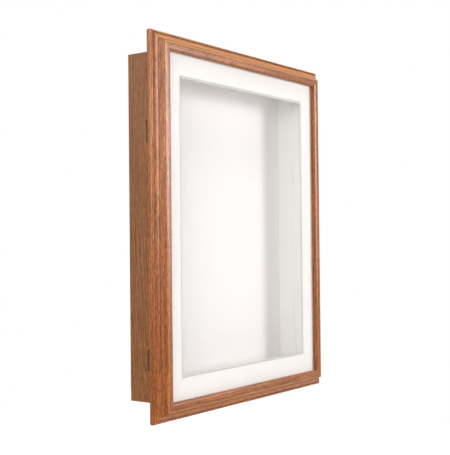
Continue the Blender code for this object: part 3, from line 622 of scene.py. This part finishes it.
def build_rail(node, quarter, wood, wiping_and_light):
    """One mitred member of the door's moulding, drawn along X at the top and turned to its side."""
    low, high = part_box("door_top_rail")
    half_width, half_height = -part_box("door_left_stile")[0].x, high.z
    lies_level = quarter % 2 == 0
    reach, half_length = (half_height, half_width) if lies_level else (half_width, half_height)
    width = high.z - low.z
    rise = high.y - low.y - FLANGE_THICKNESS
    flange_face = high.y - FLANGE_THICKNESS
    bm = bmesh.new()
    # Each point carries the stain's tone with its painted highlight and painted shade, read by the
    # oak's material
    wiped_and_painted_light = bm.verts.layers.float.new("wiped_and_painted_light")
    section = []
    for inward, forward in moulding_section(width, rise):
        section.append(bm.verts.new((-half_length, flange_face - forward, reach - inward)))
        section[-1][wiped_and_painted_light] = wiped_and_lit_share(inward, wiping_and_light[0])
    face = bm.faces.new(section)
    made = bmesh.ops.extrude_face_region(bm, geom=[face])["geom"]
    ends = [part for part in made if isinstance(part, bmesh.types.BMVert)]
    bmesh.ops.translate(bm, verts=ends, vec=(2 * half_length, 0.0, 0.0))
    for end in ends:
        end[wiped_and_painted_light] = wiped_and_lit_share(reach - end.co.z, wiping_and_light[1])
    for side in (-1, 1):
        corner = Vector((side * (half_length - MITRE_GAP), 0.0, reach))
        cut = bmesh.ops.bisect_plane(bm, geom=bm.verts[:] + bm.edges[:] + bm.faces[:],
                                     plane_co=corner, plane_no=(side, 0.0, -1.0),
                                     clear_outer=True)["geom_cut"]
        rim = [part for part in cut if isinstance(part, bmesh.types.BMEdge)]
        bmesh.ops.contextual_create(bm, geom=rim)
    bmesh.ops.recalc_face_normals(bm, faces=bm.faces)
    bmesh.ops.rotate(bm, verts=bm.verts, cent=(0.0, 0.0, 0.0),
                     matrix=Matrix.Rotation(quarter * math.pi / 2, 3, "Y"))
    finished(node + "_moulding", bm, wood, "door", node, MOULDING_SHARP)


def build_moulding():
    """The four members, each from its own stretch of board."""
    for quarter, (node, (along, from_heart, wiping_and_light)) in enumerate(RAILS.items()):
        build_rail(node, quarter, stained_oak(node, along, from_heart, "door"), wiping_and_light)


def redress(nodes, material):
    """Give CAD nodes that keep their shape a finished material."""
    for node in nodes:
        slots = frame["nodes"][node].data.materials
        slots.clear()
        slots.append(material)


def dress_boards():
    """The case's and the door box's boards, each from its own stretch of oak."""
    for number, (node, along) in enumerate(BOARDS.items()):
        from_heart = [first + step * (number % repeat)
                      for first, step, repeat in zip(FIRST_BOARD, BOARD_STEP, BOARD_REPEATS)]
        redress([node], stained_oak(node, along, from_heart, "case"))


def dress_sheets():
    """Mats, lining, backing, glazing and the back panel."""
    liners = [node for node in frame["nodes"] if "_liner_" in node]
    redress(["mat_board"], mat_paper("white_rag_mat", "#F9F5F1", "#F6F2ED"))
    # The inner mat's grey is partly its own tone and partly painted shade along the window's edge
    redress(["inner_mat"], mat_paper("grey_rag_mat_and_painted_shade", "#D8D2CC", "#CEC8C2"))
    # The lining is a greyer white than the backing board: painted shade for the box's inner walls
    redress(liners, mat_paper("white_liner_board_painted_shade", "#F0F0ED", "#EBEAE7"))
    redress(["backing_board"], mat_paper("white_backing_board", "#FFFBFA", "#FDF8F7"))
    redress(["glazing"], clear_acrylic("cast_acrylic"))
    redress(["back_panel"], birch_plywood("raw_birch_plywood"))


def turned(profile, steps):
    """A solid turned round the Y axis from (radius, depth) points; depth runs towards +Y."""
    bm = bmesh.new()
    outline = [bm.verts.new((radius, depth, 0.0)) for radius, depth in profile]
    edges = [bm.edges.new(pair) for pair in zip(outline, outline[1:])]
    bmesh.ops.spin(bm, geom=outline + edges, cent=(0.0, 0.0, 0.0), axis=(0.0, 1.0, 0.0),
                   angle=2 * math.pi, steps=steps, use_merge=True)
    bmesh.ops.remove_doubles(bm, verts=bm.verts, dist=SAME_PLACE)
    bmesh.ops.recalc_face_normals(bm, faces=bm.faces)
    return bm


def recess_radius(angle, arm, half_width):
    """How far a cross recess reaches from the screw's axis in this direction."""
    from_arm = abs((angle + math.pi / 4) % (math.pi / 2) - math.pi / 4)
    return min(arm, half_width / math.sin(from_arm)) if from_arm > ALONG_ARM else arm


def build_screw(node, shank, rearward, material):
    """A countersunk cross-recess screw in its node's place, its head at the front or the rear."""
    low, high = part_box(node)
    head, length = (high.x - low.x) / 2, high.y - low.y
    arm, half_width = RECESS_ARM * head, RECESS_HALF_WIDTH * head
    floor = (RECESS_FLOOR * arm, RECESS_DEPTH - RECESS_RISE)
    profile = [(0.0, RECESS_DEPTH), floor, (arm, 0.0), (head, HEAD_FALL), (head, HEAD_RIM),
               (shank, HEAD_RIM + head - shank), (shank, length - POINT), (0.0, length)]
    bm = turned(profile, SCREW_SIDES)
    for vert in bm.verts:
        radius = math.hypot(vert.co.x, vert.co.z)
        for ring in profile[1:3]:
            if abs(radius - ring[0]) + abs(vert.co.y - ring[1]) < SAME_PLACE:
                angle = math.atan2(vert.co.z, vert.co.x)
                reach = recess_radius(angle, ring[0], ring[0] / arm * half_width)
                vert.co.x, vert.co.z = vert.co.x * reach / radius, vert.co.z * reach / radius
    centre = (low + high) / 2
    if rearward:
        bmesh.ops.rotate(bm, verts=bm.verts, cent=(0.0, 0.0, 0.0),
                         matrix=Matrix.Rotation(math.pi, 3, "Z"))
    start = high.y if rearward else low.y
    bmesh.ops.translate(bm, verts=bm.verts, vec=(centre.x, start, centre.z))
    body = body_of(frame["nodes"][node])[0]
    finished(node + "_cross_recess", bm, material, body, node, TURNED_SHARP)


def build_disc(node, ease, material):
    """A round magnet, strike or felt pad with eased rims."""
    low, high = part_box(node)
    radius, thick = (high.x - low.x) / 2, high.y - low.y
    rim = [(radius - ease, 0.0), (radius - RIM_BEND * ease, RIM_BEND * ease), (radius, ease)]
    far_rim = [(across, thick - deep) for across, deep in reversed(rim)]
    bm = turned([(0.0, 0.0)] + rim + far_rim + [(0.0, thick)], DISC_SIDES)
    centre = (low + high) / 2
    bmesh.ops.translate(bm, verts=bm.verts, vec=(centre.x, low.y, centre.z))
    body = body_of(frame["nodes"][node])[0]
    finished(node + "_eased", bm, material, body, node, TURNED_SHARP)


def build_pin(node, material):
    """A hinge pin with a domed head and a rounded foot."""
    low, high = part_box(node)
    head, length = (high.x - low.x) / 2, high.z - low.z
    shank = PIN_SHARE * head
    profile = [(0.0, 0.0), (PIN_CROWN * head, PIN_EASE), (head, PIN_ROUND),
               (head, PIN_HEAD - PIN_EASE), (head - PIN_EASE, PIN_HEAD), (shank, PIN_HEAD),
               (shank, length - PIN_ROUND), (PIN_FOOT * shank, length - PIN_EASE), (0.0, length)]
    bm = turned(profile, PIN_SIDES)
    bmesh.ops.rotate(bm, verts=bm.verts, cent=(0.0, 0.0, 0.0),
                     matrix=Matrix.Rotation(-math.pi / 2, 3, "X"))
    centre = (low + high) / 2
    bmesh.ops.translate(bm, verts=bm.verts, vec=(centre.x, centre.y, high.z))
    body = body_of(frame["nodes"][node])[0]
    finished(node + "_domed", bm, material, body, node, TURNED_SHARP)


def soften(node):
    """Round the edges of a plate that keeps its CAD shape."""
    edges = frame["nodes"][node].modifiers.new("softened", "BEVEL")
    edges.width = PLATE_EASE
    edges.segments = PLATE_SEGMENTS
    edges.limit_method = "ANGLE"
    edges.angle_limit = math.radians(PLATE_EDGE)


def dress_hardware():
    """Hinges, screws, hangers and catches."""
    bronze, zinc = bronzed_steel("bronzed_steel"), zinc_plate("bright_zinc_plate")
    nickel, felt = nickel_plate("nickel_plate"), pressed_felt("pressed_wool_felt")
    for node in list(frame["nodes"]):
        if "_hinge_" in node and "_screw_" in node:
            build_screw(node, SMALL_SHANK, "_door_" in node, bronze)
        elif "_screw_" in node:
            shank = BACK_SHANK if node.startswith("back") else SMALL_SHANK
            build_screw(node, shank, True, zinc)
        elif node.endswith("_pin"):
            build_pin(node, bronze)
        elif node.endswith("_leaf"):
            redress([node], bronze)
            soften(node)
        elif node.endswith("keyhole_plate"):
            redress([node], zinc)
            soften(node)
        elif node.endswith("catch_magnet"):
            build_disc(node, RIM_EASE, nickel)
        elif node.endswith("catch_strike"):
            build_disc(node, RIM_EASE, zinc)
        elif node.endswith("door_bumper"):
            build_disc(node, FELT_EASE, felt)


def place_camera():
    """Put the camera where the photograph was taken from."""
    camera = bpy.data.objects.new("camera", bpy.data.cameras.new("camera"))
    bpy.context.scene.collection.objects.link(camera)
    yaw, pitch, roll = (math.radians(angle) for angle in (CAMERA_YAW, CAMERA_PITCH, CAMERA_ROLL))
    ahead = Vector((math.sin(yaw) * math.cos(pitch), math.cos(yaw) * math.cos(pitch),
                    math.sin(pitch)))
    right = Vector((math.cos(yaw), -math.sin(yaw), 0.0))
    up = right.cross(ahead)
    rolled_right = math.cos(roll) * right + math.sin(roll) * up
    rolled_up = math.cos(roll) * up - math.sin(roll) * right
    turn = Matrix((rolled_right, rolled_up, -ahead)).transposed().to_4x4()
    camera.matrix_world = Matrix.Translation(CAMERA_PLACE) @ turn
    camera.data.sensor_width = SENSOR
    camera.data.lens = LENS
    bpy.context.scene.camera = camera


def softbox(name, azimuth, elevation, distance, size, level):
    """A square area lamp aimed at the case.

    At level 1 it lights a sheet that faces it just enough for its colour to show as written.
    """
    lamp = bpy.data.lights.new(name, "AREA")
    lamp.shape = "SQUARE"
    lamp.size = size
    lamp.energy = math.pi ** 2 * level * distance ** 2
    across, above = math.radians(azimuth), math.radians(elevation)
    toward = Vector((math.sin(across) * math.cos(above), -math.cos(across) * math.cos(above),
                     math.sin(above)))
    box = bpy.data.objects.new(name, lamp)
    box.location = AIM + distance * toward
    box.rotation_euler = toward.to_track_quat("Z", "Y").to_euler()
    bpy.context.scene.collection.objects.link(box)
    return box


def light_studio():
    """The softboxes, of which only the key shows in gloss, and the lamps that only show in it."""
    for name, settings in SOFTBOXES.items():
        softbox(name, *settings).visible_glossy = name == "key_softbox"
    for name, settings in SHEEN_BOXES.items():
        softbox(name, *settings).visible_diffuse = False


def light_room():
    """A room that looks white and lights softly."""
    world = bpy.data.worlds.new("studio")
    world.use_nodes = True
    tree = world.node_tree
    tree.nodes.clear()
    strength = added(tree, "MapRange", {"Value": seen_directly(tree), "To Min": ROOM_LEVEL})
    glow = added(tree, "Background", {"Color": linear("#FFFFFF"), "Strength": strength.outputs[0]})
    added(tree, "OutputWorld", {"Surface": glow.outputs[0]})
    bpy.context.scene.world = world


def lay_floor():
    """A plain pale floor below the hanging case."""
    bm = bmesh.new()
    bmesh.ops.create_grid(bm, x_segments=FLOOR_SQUARES, y_segments=FLOOR_SQUARES,
                          size=FLOOR_SIZE / 2)
    bmesh.ops.translate(bm, verts=bm.verts, vec=(0.0, 0.0, cad_bounds[0].z - FLOOR_DROP))
    mesh = bpy.data.meshes.new("studio_floor")
    bm.to_mesh(mesh)
    bm.free()
    mesh.materials.append(pale_floor("painted_studio_floor"))
    floor = bpy.data.objects.new("studio_floor", mesh)
    bpy.context.scene.collection.objects.link(floor)


def build():
    """Camera first, then the case's finishes, then the studio."""
    place_camera()
    build_moulding()
    dress_boards()
    dress_sheets()
    dress_hardware()
    lay_floor()
    light_room()
    light_studio()
    bpy.context.scene.view_settings.view_transform = "Standard"


build()
